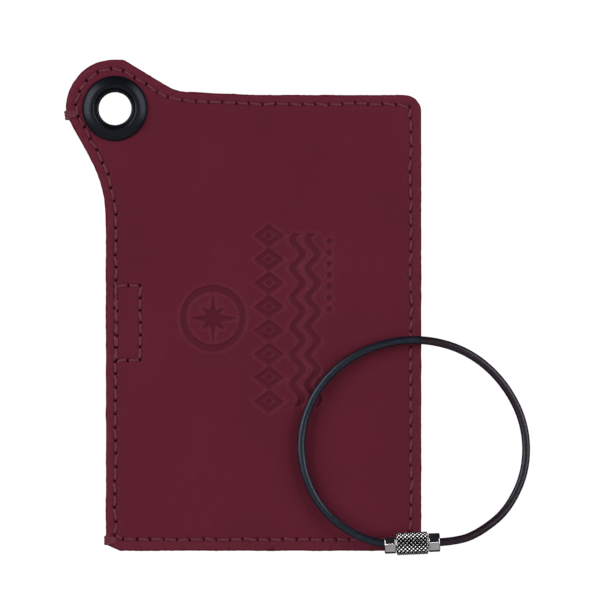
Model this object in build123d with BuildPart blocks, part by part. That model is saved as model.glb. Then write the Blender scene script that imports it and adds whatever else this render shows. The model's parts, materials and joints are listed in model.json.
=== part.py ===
from build123d import *
import math
import os

os.makedirs("parts", exist_ok=True)

# ---------------------------------------------------------------------------
# Leather luggage tag with a black metal grommet and a loose screw-clasp cable
# loop.
# Millimetres. The tag lies on its back on Z = 0, its long side along Y, with
# the grommet ear at the upper left and the open mouth of the card pocket on
# the left edge. X = 0, Y = 0 is the middle of the leather.
# ---------------------------------------------------------------------------

# Outline of the leather
body_left = -31.0
body_right = 40.0
body_bottom = -55.3
body_top = 47.3
ear_radius = 11.05
grommet_x = body_right - 80.0 + ear_radius
grommet_y = 55.3 - ear_radius
neck_left_start = 26.6          # height where the left edge starts to lean out
neck_left_angle = 187.0         # where the left neck line meets the ear, about the grommet
neck_top_start = 4.3            # X where the top edge starts to rise gently
neck_bend_x = -15.2             # where it turns up towards the ear
neck_bend_rise = 0.8
neck_top_angle = 78.0           # where the top neck line meets the ear
neck_left_radius = 29.5
neck_top_radius = 10.0
top_corner_radius = 3.8
bottom_corner_radius = 3.0
corner_cut_x = 3.2
corner_cut_y = 1.4
ear_tack_angle = 188.0          # where the seam's thread wraps the ear's edge
tack_above_cut = 0.9            # the other wrap lies this far above the cut corner
tack_overlap = 0.1

# Leather stack, from the back up
ply = 1.2
filler = 1.2
front_z = ply + filler
tag_thickness = front_z + ply
facing = 0.3
facing_inset = 0.6              # how far the facings stop short of the left edge
card_thickness = 0.4
card_gap = 0.1

# Card pocket: open on the left, closed by the seam filler elsewhere
seam_width = 5.0
pocket_right = body_right - seam_width
pocket_bottom = body_bottom + seam_width
pocket_top = body_top - seam_width
pocket_step_x = -12.0
pocket_step_y = 36.3
pocket_step_run = 7.0
facing_margin = 0.2
facing_left = body_left + facing_inset

# Identity card, 85.6 by 54 mm, upright
card_width = 54.0
card_height = 85.6
card_right = pocket_right - 1.0
card_bottom = pocket_bottom + 0.5
card_corner = 3.0

# Window in the back
window_width = 44.0
window_height = 74.0
window_corner = 4.0
window_x = card_right - card_width / 2
window_y = card_bottom + card_height / 2
film_border = 3.0
film_thickness = 0.25
film_clearance = 0.1

# Magnetic closure behind the box stitch
box_width = 5.85
box_height = 16.9
box_y = -4.0
magnet_width = 4.0
magnet_height = 14.0
magnet_thickness = 0.7

# Stitching
seam_inset = 2.2
pitch = 3.0
stitch_length = 2.5
stitch_width = 0.7
groove_width = 1.0
front_groove = 0.2
back_groove = 0.45
stitch_proud = 0.15
stitch_sunk = 0.08
front_stitch_z = tag_thickness - front_groove
front_stitch_height = front_groove + stitch_proud
back_stitch_height = back_groove - stitch_sunk
box_columns = 2
box_rows = 6
box_shift = 0.2
box_row_pitch = 2.55
box_x = body_left + seam_inset + box_width / 2
tack_depth = 0.35
tack_inner = ear_radius - seam_inset + groove_width / 2 - tack_overlap
corner_tack_y = body_bottom + corner_cut_y + tack_above_cut

# Grommet: an eyelet set through the ear and rolled over a washer
hole_radius = 3.7
flange_radius = 7.35
eyelet_wall = 0.5
crown = 1.5
inner_rise = 0.4
rise_out, rise_share = 0.5, 0.8          # the curve's inner flank, out from the hole
crown_out = 1.6                          # its top
shoulder_in, shoulder_share = 0.8, 0.65  # its outer flank, in from the rim
rim_height = 0.25
lip_radius = 5.0
lip_thickness = 0.25
washer_radius = 7.0
washer_thickness = 0.5
washer_clearance = 0.05

# Cable loop: coated steel cable, route as corner points in order from the
# stud ferrule round the left, over the top and down the right side
cable_radius = 0.9
core_radius = 0.6
clasp_x = 37.9
clasp_y = -53.5
clasp_z = 6.5
clasp_tilt = 2.3
route = [
    (28.0, -53.9, 6.5),
    (22.4, -51.1, 5.7),
    (17.4, -46.0, 4.9),
    (13.6, -38.3, 4.85),
    (12.6, -29.4, 4.85),
    (15.6, -20.2, 4.85),
    (21.8, -13.0, 4.85),
    (31.0, -8.4, 4.85),
    (41.2, -7.5, 4.85),
    (50.9, -10.5, 3.9),
    (58.6, -17.2, 2.2),
    (63.5, -26.6, 1.2),
    (63.8, -37.0, 1.5),
    (59.6, -46.0, 3.2),
    (53.6, -50.8, 5.2),
    (48.3, -53.08, 6.5),
]
split_gap = 0.6
hinge_y = -7.9

# Screw clasp, measured along its own axis from its middle
clasp_half = 6.25
barrel_half = 3.6
end_gap = 0.1
ferrule_radius = 2.1
barrel_radius = 2.6
cable_bite = 1.6
stud_radius = 1.3
stud_end = -0.4
thread_bore = 1.6
chamber_radius = 1.9
chamber_start = 0.9
neck_radius = 0.9
collar_radius = 1.6
collar_start = 1.4
collar_end = 2.2
retainer_start = 2.5
retainer_end = 3.3
retainer_bore = 1.2
edge_break = 0.25


def rectangle_between(left, bottom, right, top, radius=0.0):
    """A rectangle given by its sides, in the sketch that is being built."""
    with Locations(((left + right) / 2, (bottom + top) / 2)):
        if radius > 0:
            RectangleRounded(right - left, top - bottom, radius)
        else:
            Rectangle(right - left, top - bottom)


def ear_point(angle):
    """A point on the ear's round edge, by its angle about the grommet."""
    radians = math.radians(angle)
    return (grommet_x + ear_radius * math.cos(radians), grommet_y + ear_radius * math.sin(radians))


def leather_outline():
    """The tag's outline: a rectangle drawn out to a round ear at one corner."""
    neck_bend = (neck_bend_x, body_top + neck_bend_rise)
    with BuildSketch() as outline:
        with BuildLine():
            ThreePointArc(
                ear_point(neck_top_angle),
                ear_point((neck_top_angle + neck_left_angle) / 2),
                ear_point(neck_left_angle),
            )
            Polyline(
                ear_point(neck_left_angle),
                (body_left, neck_left_start),
                (body_left, body_bottom + corner_cut_y),
                (body_left + corner_cut_x, body_bottom),
                (body_right, body_bottom),
                (body_right, body_top),
                (neck_top_start, body_top),
                neck_bend,
                ear_point(neck_top_angle),
            )
        make_face()
        corners = outline.vertices()
        fillet(corners.sort_by_distance((body_right, body_top))[0], top_corner_radius)
        corners = outline.vertices()
        fillet(corners.sort_by_distance((body_right, body_bottom))[0], bottom_corner_radius)
        corners = outline.vertices()
        fillet(corners.sort_by_distance(neck_bend)[0], neck_top_radius)
        corners = outline.vertices()
        fillet(corners.sort_by_distance((body_left, neck_left_start))[0], neck_left_radius)
    return outline.sketch


def inset_outline(inset):
    """The leather outline moved inwards, for the groove and the seam line."""
    with BuildSketch() as inner:
        add(leather_outline())
        offset(amount=-inset, kind=Kind.INTERSECTION)
    return inner.sketch


outline = leather_outline()
groove_outer = inset_outline(seam_inset - groove_width / 2)
groove_inner = inset_outline(seam_inset + groove_width / 2)
seam_line = inset_outline(seam_inset).face().outer_wire()

# The thread that starts and ends the seam goes round the edge of the leather
ear_tack_plane = Plane(
    origin=(grommet_x, grommet_y, 0),
    x_dir=(math.cos(math.radians(ear_tack_angle)), math.sin(math.radians(ear_tack_angle)), 0),
    z_dir=(math.sin(math.radians(ear_tack_angle)), -math.cos(math.radians(ear_tack_angle)), 0),
)
corner_tack_plane = Plane(
    origin=(body_left + ear_radius, corner_tack_y, 0),
    x_dir=(-1, 0, 0),
    z_dir=(0, 1, 0),
)
tack_planes = [ear_tack_plane, corner_tack_plane]


def tack_core(mode):
    """The leather that an edge stitch goes round, in the stitch's own plane."""
    with Locations((ear_radius - tack_depth, (back_groove + front_stitch_z) / 2)):
        Rectangle(
            ear_radius,
            front_stitch_z - back_groove,
            align=(Align.MAX, Align.CENTER),
            mode=mode,
        )


def tack_notches():
    """The nicks that the two edge stitches sit in, cut into the leather all round."""
    for plane in tack_planes:
        with BuildSketch(plane) as nick:
            rectangle_between(tack_inner, -1.0, ear_radius + 1.0, tag_thickness + 1.0)
            tack_core(Mode.SUBTRACT)
        extrude(nick.sketch, amount=stitch_width / 2, both=True, mode=Mode.SUBTRACT)


def stitch_groove(height, depth):
    """The channel that the stitches lie in, cut upwards from a height."""
    with BuildSketch(Plane.XY.offset(height)) as groove:
        add(groove_outer)
        add(groove_inner, mode=Mode.SUBTRACT)
    extrude(groove.sketch, amount=depth, mode=Mode.SUBTRACT)
    with BuildSketch(Plane.XY.offset(height)) as box_groove:
        with Locations((box_x, box_y)):
            Rectangle(box_width + groove_width, box_height + groove_width)
            Rectangle(box_width - groove_width, box_height - groove_width, mode=Mode.SUBTRACT)
    extrude(box_groove.sketch, amount=depth, mode=Mode.SUBTRACT)


def magnet_recess(height):
    """The pocket for a bar magnet, cut upwards from a height."""
    with BuildSketch(Plane.XY.offset(height)) as recess:
        with Locations((box_x, box_y)):
            Rectangle(magnet_width, magnet_height)
    extrude(recess.sketch, amount=magnet_thickness, mode=Mode.SUBTRACT)


def facing_outline():
    """The lining that covers the inside of a ply, short of the seam filler."""
    Polygon(
        (facing_left, pocket_bottom + facing_margin),
        (pocket_right - facing_margin, pocket_bottom + facing_margin),
        (pocket_right - facing_margin, pocket_top - facing_margin),
        (pocket_step_x, pocket_top - facing_margin),
        (pocket_step_x - pocket_step_run, pocket_step_y - facing_margin),
        (facing_left, pocket_step_y - facing_margin),
        align=None,
    )


def magnet(height):
    """A bar magnet lying in a recess that starts at a height."""
    with BuildSketch(Plane.XY.offset(height)) as bar:
        with Locations((box_x, box_y)):
            Rectangle(magnet_width, magnet_height)
    extrude(bar.sketch, amount=magnet_thickness)


def stitch_bars(places, height, thickness):
    """Stitches as short round-ended bars at the given places."""
    with BuildSketch(Plane.XY.offset(height)) as bars:
        with Locations(*places):
            SlotOverall(stitch_length, stitch_width)
    extrude(bars.sketch, amount=thickness)


# ---------------------------------------------------------------------------
# Stitch places
# ---------------------------------------------------------------------------
stitch_count = round(seam_line.length / pitch)
seam_places = []
mouth_places = []
for index in range(stitch_count):
    place = (index + 0.5) / stitch_count
    point = seam_line @ place
    along = seam_line % place
    heading = math.degrees(math.atan2(along.Y, along.X))
    spot = Location((point.X, point.Y, 0), (0, 0, heading))
    in_reach = corner_tack_y < point.Y < ear_point(ear_tack_angle)[1]
    beside_mouth = in_reach and point.X < grommet_x + seam_inset
    if beside_mouth:
        mouth_places.append(spot)
    else:
        seam_places.append(spot)

box_places = []
for side in (-1, 1):
    for column in range(box_columns):
        offset_x = (column - (box_columns - 1) / 2) * box_width / box_columns + box_shift
        box_places.append(Location((box_x + offset_x, box_y + side * box_height / 2, 0), (0, 0, 0)))
for row in range(box_rows):
    offset_y = (row - (box_rows - 1) / 2) * box_row_pitch
    box_places.append(Location((box_x + box_width / 2, box_y + offset_y, 0), (0, 0, 90)))


# ---------------------------------------------------------------------------
# Leather, lining and closure
# ---------------------------------------------------------------------------
with BuildPart() as front_panel:
    with BuildSketch(Plane.XY.offset(front_z)):
        add(outline)
        with Locations((grommet_x, grommet_y)):
            Circle(hole_radius + eyelet_wall, mode=Mode.SUBTRACT)
    extrude(amount=ply)
    stitch_groove(front_stitch_z, front_groove)
    magnet_recess(front_z)
    tack_notches()
front_panel.part.label = "front_panel"
export_step(front_panel.part, "parts/front_panel.step")

with BuildPart() as back_panel:
    with BuildSketch():
        add(outline)
        with Locations((grommet_x, grommet_y)):
            Circle(hole_radius + eyelet_wall, mode=Mode.SUBTRACT)
        with Locations((window_x, window_y)):
            RectangleRounded(window_width, window_height, window_corner, mode=Mode.SUBTRACT)
    extrude(amount=ply)
    stitch_groove(0, back_groove)
    magnet_recess(ply - magnet_thickness)
    with BuildSketch():
        with Locations((grommet_x, grommet_y)):
            Circle(washer_radius + washer_clearance)
    extrude(amount=lip_thickness + washer_thickness, mode=Mode.SUBTRACT)
    tack_notches()
back_panel.part.label = "back_panel"
export_step(back_panel.part, "parts/back_panel.step")

# Strips between the plies: left, bottom, right and top side of each
filler_strips = {
    "ear_filler": (body_left - ear_radius, pocket_step_y, pocket_step_x, body_top + ear_radius),
    "top_filler": (pocket_step_x, pocket_top, pocket_right, body_top),
    "right_filler": (pocket_right, pocket_bottom, body_right, body_top),
    "bottom_filler": (body_left, body_bottom, body_right, pocket_bottom),
}
for filler_name, sides in filler_strips.items():
    with BuildPart() as filler_strip:
        with BuildSketch(Plane.XY.offset(ply)):
            rectangle_between(*sides)
            add(outline, mode=Mode.INTERSECT)
            Polygon(
                (pocket_step_x, pocket_top),
                (pocket_step_x - pocket_step_run, pocket_step_y),
                (pocket_step_x, pocket_step_y),
                align=None,
                mode=Mode.SUBTRACT,
            )
            with Locations((grommet_x, grommet_y)):
                Circle(hole_radius + eyelet_wall, mode=Mode.SUBTRACT)
        extrude(amount=filler)
        tack_notches()
    filler_strip.part.label = filler_name
    export_step(filler_strip.part, "parts/" + filler_name + ".step")

with BuildPart() as front_facing:
    with BuildSketch(Plane.XY.offset(front_z - facing)):
        facing_outline()
    extrude(amount=facing)
front_facing.part.label = "front_facing"
export_step(front_facing.part, "parts/front_facing.step")

film_width = window_width + 2 * film_border
film_height = window_height + 2 * film_border

with BuildPart() as back_facing:
    with BuildSketch(Plane.XY.offset(ply)):
        facing_outline()
        with Locations((window_x, window_y)):
            Rectangle(
                film_width + 2 * film_clearance,
                film_height + 2 * film_clearance,
                mode=Mode.SUBTRACT,
            )
    extrude(amount=facing)
back_facing.part.label = "back_facing"
export_step(back_facing.part, "parts/back_facing.step")

with BuildPart() as window_film:
    with BuildSketch(Plane.XY.offset(ply)):
        with Locations((window_x, window_y)):
            Rectangle(film_width, film_height)
    extrude(amount=film_thickness)
window_film.part.label = "window_film"
export_step(window_film.part, "parts/window_film.step")

with BuildPart() as front_magnet:
    magnet(front_z)
front_magnet.part.label = "front_magnet"
export_step(front_magnet.part, "parts/front_magnet.step")

with BuildPart() as back_magnet:
    magnet(ply - magnet_thickness)
back_magnet.part.label = "back_magnet"
export_step(back_magnet.part, "parts/back_magnet.step")

with BuildPart() as address_card:
    with BuildSketch(Plane.XY.offset(ply + facing + card_gap)):
        rectangle_between(
            card_right - card_width,
            card_bottom,
            card_right,
            card_bottom + card_height,
            card_corner,
        )
    extrude(amount=card_thickness)
address_card.part.label = "address_card"
export_step(address_card.part, "parts/address_card.step")


# ---------------------------------------------------------------------------
# Thread
# ---------------------------------------------------------------------------
thread_sets = {
    "seam_thread": seam_places,
    "mouth_thread": mouth_places,
    "box_thread": box_places,
}
for thread_name, places in thread_sets.items():
    with BuildPart() as thread_front:
        stitch_bars(places, front_stitch_z, front_stitch_height)
    thread_front.part.label = thread_name + "_front"
    export_step(thread_front.part, "parts/" + thread_name + "_front.step")
    with BuildPart() as thread_back:
        stitch_bars(places, stitch_sunk, back_stitch_height)
    thread_back.part.label = thread_name + "_back"
    export_step(thread_back.part, "parts/" + thread_name + "_back.step")


for tack_name, tack_plane in (("ear_back_tack", ear_tack_plane), ("corner_back_tack", corner_tack_plane)):
    with BuildPart() as tack:
        with BuildSketch(tack_plane):
            rectangle_between(tack_inner, stitch_sunk, ear_radius, tag_thickness + stitch_proud)
            tack_core(Mode.SUBTRACT)
        extrude(amount=stitch_width / 2, both=True)
    tack.part.label = tack_name
    export_step(tack.part, "parts/" + tack_name + ".step")


# ---------------------------------------------------------------------------
# Grommet
# ---------------------------------------------------------------------------
grommet_plane = Plane(origin=(grommet_x, grommet_y, 0), x_dir=(1, 0, 0), z_dir=(0, -1, 0))

with BuildPart() as grommet_eyelet:
    with BuildSketch(grommet_plane):
        with BuildLine():
            Line((hole_radius, lip_thickness), (hole_radius, tag_thickness + inner_rise))
            Spline(
                (hole_radius, tag_thickness + inner_rise),
                (hole_radius + rise_out, tag_thickness + rise_share * crown),
                (hole_radius + crown_out, tag_thickness + crown),
                (flange_radius - shoulder_in, tag_thickness + shoulder_share * crown),
                (flange_radius, tag_thickness + rim_height),
            )
            Polyline(
                (flange_radius, tag_thickness + rim_height),
                (flange_radius, tag_thickness),
                (hole_radius + eyelet_wall, tag_thickness),
                (hole_radius + eyelet_wall, lip_thickness),
                (lip_radius, lip_thickness),
                (lip_radius, 0),
                (hole_radius + lip_thickness, 0),
                (hole_radius, lip_thickness),
            )
        make_face()
    revolve(axis=Axis((grommet_x, grommet_y, 0), (0, 0, 1)))
grommet_eyelet.part.label = "grommet_eyelet"
export_step(grommet_eyelet.part, "parts/grommet_eyelet.step")

with BuildPart() as grommet_washer:
    with BuildSketch(Plane.XY.offset(lip_thickness)):
        with Locations((grommet_x, grommet_y)):
            Circle(washer_radius)
            Circle(hole_radius + eyelet_wall + washer_clearance, mode=Mode.SUBTRACT)
    extrude(amount=washer_thickness)
grommet_washer.part.label = "grommet_washer"
export_step(grommet_washer.part, "parts/grommet_washer.step")


# ---------------------------------------------------------------------------
# Cable loop
# ---------------------------------------------------------------------------
tilt = math.radians(clasp_tilt)
axis_x = math.cos(tilt)
axis_y = math.sin(tilt)


def on_clasp(along):
    """A point on the clasp's axis, at a distance from its middle."""
    return (clasp_x + along * axis_x, clasp_y + along * axis_y, clasp_z)


cable_start = on_clasp(-clasp_half + cable_bite)
cable_finish = on_clasp(clasp_half - cable_bite)
cable_points = [Vector(*point) for point in [cable_start] + route + [cable_finish]]

# Each arc is as large as its two runs allow
arc_share = 0.45
cable_radii = []
for before, corner, after in zip(cable_points, cable_points[1:], cable_points[2:]):
    incoming = corner - before
    outgoing = after - corner
    turn = math.radians(incoming.get_angle(outgoing))
    cable_radii.append(arc_share * min(incoming.length, outgoing.length) / math.tan(turn / 2))
print("cable arc radii, mm:", [round(radius, 1) for radius in cable_radii])

with BuildLine() as cable_path:
    FilletPolyline(*cable_points, radius=cable_radii)
cable_wire = cable_path.wires()[0]
cable_length = cable_wire.length
print("cable length, mm:", round(cable_length, 1))

# The loop opens by bending at its far side, where the two halves meet
hinge_x = clasp_x + (clasp_y - hinge_y) * math.tan(tilt)
print("hinge X, mm:", round(hinge_x, 2))


def swept_cable(outer, inner=0.0):
    """The whole cable as one round tube along its path."""
    with BuildSketch(Plane(origin=cable_wire @ 0, z_dir=cable_wire % 0)) as section:
        Circle(outer)
        if inner > 0:
            Circle(inner, mode=Mode.SUBTRACT)
    sweep(section.sketch, path=cable_wire)


left_plane = Plane.YZ.offset(hinge_x - split_gap / 2)
right_plane = Plane.YZ.offset(hinge_x + split_gap / 2)
cable_halves = {
    "left": (left_plane, Keep.BOTTOM),
    "right": (right_plane, Keep.TOP),
}
for side_name, (cut_plane, kept_side) in cable_halves.items():
    with BuildPart() as cable_jacket:
        swept_cable(cable_radius, core_radius)
        split(bisect_by=cut_plane, keep=kept_side)
    cable_jacket.part.label = "cable_jacket_" + side_name
    export_step(cable_jacket.part, "parts/cable_jacket_" + side_name + ".step")
    with BuildPart() as cable_core:
        swept_cable(core_radius)
        split(bisect_by=cut_plane, keep=kept_side)
    cable_core.part.label = "cable_core_" + side_name
    export_step(cable_core.part, "parts/cable_core_" + side_name + ".step")
    section = math.pi * (cable_radius**2 - core_radius**2)
    print(side_name, "jacket volume over section, mm:", round(cable_jacket.part.volume / section, 1))


# ---------------------------------------------------------------------------
# Screw clasp
# ---------------------------------------------------------------------------
clasp_plane = Plane(origin=on_clasp(0), x_dir=(axis_x, axis_y, 0), z_dir=(0, 0, 1))
clasp_axis = Axis(on_clasp(0), (axis_x, axis_y, 0))


def turned(points):
    """A turned piece: its half profile, (along, radius), spun about the clasp's axis."""
    with BuildSketch(clasp_plane) as profile:
        Polygon(*points, align=None)
    revolve(profile.sketch, axis=clasp_axis)


with BuildPart() as stud_ferrule:
    turned(
        [
            (-clasp_half, cable_radius),
            (-clasp_half, ferrule_radius - edge_break),
            (-clasp_half + edge_break, ferrule_radius),
            (-barrel_half - end_gap - edge_break, ferrule_radius),
            (-barrel_half - end_gap, ferrule_radius - edge_break),
            (-barrel_half - end_gap, stud_radius),
            (stud_end - edge_break, stud_radius),
            (stud_end, stud_radius - edge_break),
            (stud_end, 0),
            (-clasp_half + cable_bite, 0),
            (-clasp_half + cable_bite, cable_radius),
        ]
    )
stud_ferrule.part.label = "stud_ferrule"
export_step(stud_ferrule.part, "parts/stud_ferrule.step")

with BuildPart() as swivel_ferrule:
    turned(
        [
            (clasp_half, cable_radius),
            (clasp_half, ferrule_radius - edge_break),
            (clasp_half - edge_break, ferrule_radius),
            (barrel_half + end_gap + edge_break, ferrule_radius),
            (barrel_half + end_gap, ferrule_radius - edge_break),
            (barrel_half + end_gap, neck_radius),
            (collar_end, neck_radius),
            (collar_end, collar_radius),
            (collar_start, collar_radius),
            (collar_start, 0),
            (clasp_half - cable_bite, 0),
            (clasp_half - cable_bite, cable_radius),
        ]
    )
swivel_ferrule.part.label = "swivel_ferrule"
export_step(swivel_ferrule.part, "parts/swivel_ferrule.step")

with BuildPart() as knurled_barrel:
    turned(
        [
            (-barrel_half, thread_bore),
            (-barrel_half, barrel_radius - edge_break),
            (-barrel_half + edge_break, barrel_radius),
            (barrel_half - edge_break, barrel_radius),
            (barrel_half, barrel_radius - edge_break),
            (barrel_half, chamber_radius),
            (chamber_start, chamber_radius),
            (chamber_start, thread_bore),
        ]
    )
knurled_barrel.part.label = "knurled_barrel"
export_step(knurled_barrel.part, "parts/knurled_barrel.step")

with BuildPart() as barrel_retainer:
    turned(
        [
            (retainer_start, retainer_bore),
            (retainer_start, chamber_radius),
            (retainer_end, chamber_radius),
            (retainer_end, retainer_bore),
        ]
    )
barrel_retainer.part.label = "barrel_retainer"
export_step(barrel_retainer.part, "parts/barrel_retainer.step")
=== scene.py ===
import json
import math

import bpy
import numpy as np
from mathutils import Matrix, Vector
from mathutils.geometry import delaunay_2d_cdt


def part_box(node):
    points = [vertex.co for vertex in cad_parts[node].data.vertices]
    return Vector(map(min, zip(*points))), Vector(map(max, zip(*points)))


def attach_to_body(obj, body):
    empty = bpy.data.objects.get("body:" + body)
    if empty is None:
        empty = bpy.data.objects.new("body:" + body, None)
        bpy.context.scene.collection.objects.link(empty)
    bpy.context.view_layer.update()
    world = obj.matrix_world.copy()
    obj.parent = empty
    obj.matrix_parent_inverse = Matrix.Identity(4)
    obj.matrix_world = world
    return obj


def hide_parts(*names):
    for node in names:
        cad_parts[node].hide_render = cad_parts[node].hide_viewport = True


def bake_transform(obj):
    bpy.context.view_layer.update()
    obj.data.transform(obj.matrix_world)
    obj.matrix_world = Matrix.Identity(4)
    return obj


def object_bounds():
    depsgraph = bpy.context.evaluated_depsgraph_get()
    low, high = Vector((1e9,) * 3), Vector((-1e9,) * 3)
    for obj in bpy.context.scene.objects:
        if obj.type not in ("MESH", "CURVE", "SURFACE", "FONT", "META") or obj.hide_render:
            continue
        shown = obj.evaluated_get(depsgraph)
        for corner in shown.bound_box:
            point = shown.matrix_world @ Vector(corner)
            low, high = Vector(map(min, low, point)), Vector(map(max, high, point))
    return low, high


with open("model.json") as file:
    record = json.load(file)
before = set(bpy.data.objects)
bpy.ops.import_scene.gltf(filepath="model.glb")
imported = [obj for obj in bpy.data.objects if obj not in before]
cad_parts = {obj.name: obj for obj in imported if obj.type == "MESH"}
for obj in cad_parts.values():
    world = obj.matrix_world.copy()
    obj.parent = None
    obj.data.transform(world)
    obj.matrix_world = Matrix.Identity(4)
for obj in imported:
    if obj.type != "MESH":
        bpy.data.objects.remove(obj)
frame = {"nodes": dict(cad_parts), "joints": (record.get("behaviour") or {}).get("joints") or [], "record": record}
cad_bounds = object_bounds()

# A leather luggage tag lying on its back, seen from above. Shapes are worked out in
# millimetres and made in metres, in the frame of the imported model.
MM = 0.001


def box_mm(node):
    """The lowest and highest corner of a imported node, in millimetres."""
    low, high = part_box(node)
    return np.array(low) / MM, np.array(high) / MM


mounts = {mount["name"]: mount for mount in frame["record"]["mounts"]}
joints = {joint["name"]: joint for joint in frame["joints"]}

# ---- Places from the frame
front_low, front_high = box_mm("front_panel")
back_low, back_high = box_mm("back_panel")
washer_low, _ = box_mm("grommet_washer")
eyelet_low, eyelet_high = box_mm("grommet_eyelet")
film_low, film_high = box_mm("window_film")
card_low, card_high = box_mm("address_card")
grommet = np.array(mounts["grommet_hole"]["pos_m"]) / MM
hole_radius = mounts["grommet_hole"]["dims"]["r_mm"]
clasp = np.array(joints["barrel_spin"]["pos_m"]) / MM
clasp_axis = np.array(joints["barrel_spin"]["axis"])

# ---- Sizes
BODY_WIDTH = 71.0
NECK_TOP_DROP = 8.0           # the body's top edge lies this far below the ear's top
NECK_LEFT_START = 26.6
NECK_LEFT_ANGLE = 187.0       # where the neck meets the ear, in degrees about the grommet
NECK_TOP_START = 4.3          # where the top edge starts to rise gently
NECK_BEND = (-15.2, 0.8)      # where it turns up to the ear, and how far it has risen there
NECK_TOP_ANGLE = 78.0
NECK_LEFT_RADIUS = 29.5
NECK_TOP_RADIUS = 10.0
TOP_CORNER_RADIUS = 3.8
BOTTOM_CORNER_RADIUS = 3.0
CORNER_CUT = (3.2, 1.4)

RIM_STEP = 0.35               # spacing of the points along a cut edge
FINE_STEP = 0.24              # spacing of the points near stitches and pressed lines
COARSE_EVERY = 3
EDGE_ROUND = 0.25             # how far a cut edge is rounded down, and over what width
EDGE_WIDTH = 0.55
RAG = 0.12                    # how far a cut edge wanders
WORN_WIDTH = 2.2              # how far in from the edge the leather is rubbed
RIM_WIDTH = 0.6               # and how far in its dark rim shows
SWELL = 0.05                  # the ply's long and short unevenness
DIMPLE = 0.015

PITCH = 3.0                   # stitching
SEAM_LEFT, SEAM_RIGHT, SEAM_TOP, SEAM_BOTTOM = 2.2, 2.35, 2.1, 2.55
SEAM_CLEARANCE = 0.93         # seam points nearer the edge than this share of their inset go
THREAD_RADIUS = 0.31
THREAD_SIDES = 14
THREAD_STRANDS = 3
THREAD_LAY = 1.3
THREAD_RISE = 0.12
BACK_THREAD_SINK = 0.12       # the back's thread is let in by its own rise
THREAD_DIVE = 0.62            # how deep each end of a stitch goes
THREAD_ENDS = 0.62            # gap between a needle hole's middle and the thread at the surface
GROOVE_DEPTH = 0.12
GROOVE_WIDTH = 0.45
HOLE_DEPTH = 0.7
HOLE_WIDTH = 0.34
CLOSED_HOLE = 0.72            # how open the other holes are, next to those at the mouth
TACK_RADIUS = 0.36
EAR_TACK_ANGLE = 188.0        # in degrees about the grommet
TACK_ABOVE_CUT = 0.9
TACK_NARROWING = 0.55
TACK_TURNS = (-0.66, 0.0, 0.68)
TACK_BEND = 0.35
BOX_WIDTH = 5.6
BOX_TOP = 4.35
BOX_BOTTOM = -12.4

PRESS_DEPTH = 0.24            # pressed ornament
PRESS_SOFTNESS = 0.14
PRESS_SHOULDER = 0.08         # the leather swells a little beside a pressed line
SHOULDER_PLACE = 0.36
SHOULDER_WIDTH = 0.22

# Corner points of the cable's route, listed to follow the cable's middle as measured in the photo. Their heights
# are guesses.
cable_points = [
    (29.2, -53.4, 6.5),
    (22.7, -50.3, 5.75),
    (17.3, -45.6, 4.9),
    (13.6, -38.3, 4.85),
    (12.6, -29.4, 4.85),
    (15.6, -20.2, 4.85),
    (21.8, -13.0, 4.85),
    (31.0, -8.4, 4.85),
    (41.2, -7.5, 4.85),
    (50.9, -10.5, 3.9),
    (58.6, -17.2, 2.2),
    (63.5, -26.6, 1.2),
    (63.8, -37.0, 1.5),
    (59.6, -46.0, 3.2),
    (53.6, -50.8, 5.2),
    (48.3, -53.08, 6.5),
]
CABLE_RADIUS = 0.9
CLASP_HALF = 6.25
BARREL_HALF = 3.6
FERRULE_RADIUS = 2.1
BARREL_RADIUS = 2.6
CABLE_BITE = 1.6              # how far the cable goes into a ferrule
CABLE_BORE = 0.86
BARREL_BORE = 1.6
STUD_BORE = 1.9
STUD_STOP = 0.9               # where the stud's bore ends
KNURL_COLUMNS = 7.5
KNURL_ROWS = 15
KNURL_DEPTH = 0.36
KNURL_MARGIN = 0.2            # plain metal at each end of the barrel
KNURL_SIDES_PER_ROW = 20
KNURL_RINGS = 136


# ---- Plane geometry
def unit(vector):
    """The vector at length 1."""
    return vector / np.linalg.norm(vector)


def arc(centre, radius, start, sweep, step=0.06):
    """Points on an arc, both ends included; angles in radians."""
    count = max(2, int(abs(sweep) / step) + 1)
    angles = start + np.linspace(0, sweep, count)
    return [centre + radius * np.array([math.cos(a), math.sin(a)]) for a in angles]


def rounded(before, corner, after, radius):
    """The arc that rounds one corner of a path."""
    towards_before = unit(before - corner)
    towards_after = unit(after - corner)
    half = 0.5 * math.acos(float(np.clip(towards_before @ towards_after, -1, 1)))
    reach = radius / math.tan(half)
    centre = corner + unit(towards_before + towards_after) * radius / math.sin(half)
    first = corner + towards_before * reach - centre
    last = corner + towards_after * reach - centre
    start = math.atan2(first[1], first[0])
    sweep = math.atan2(last[1], last[0]) - start
    sweep = (sweep + math.pi) % (2 * math.pi) - math.pi
    return arc(centre, radius, start, sweep)


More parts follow.
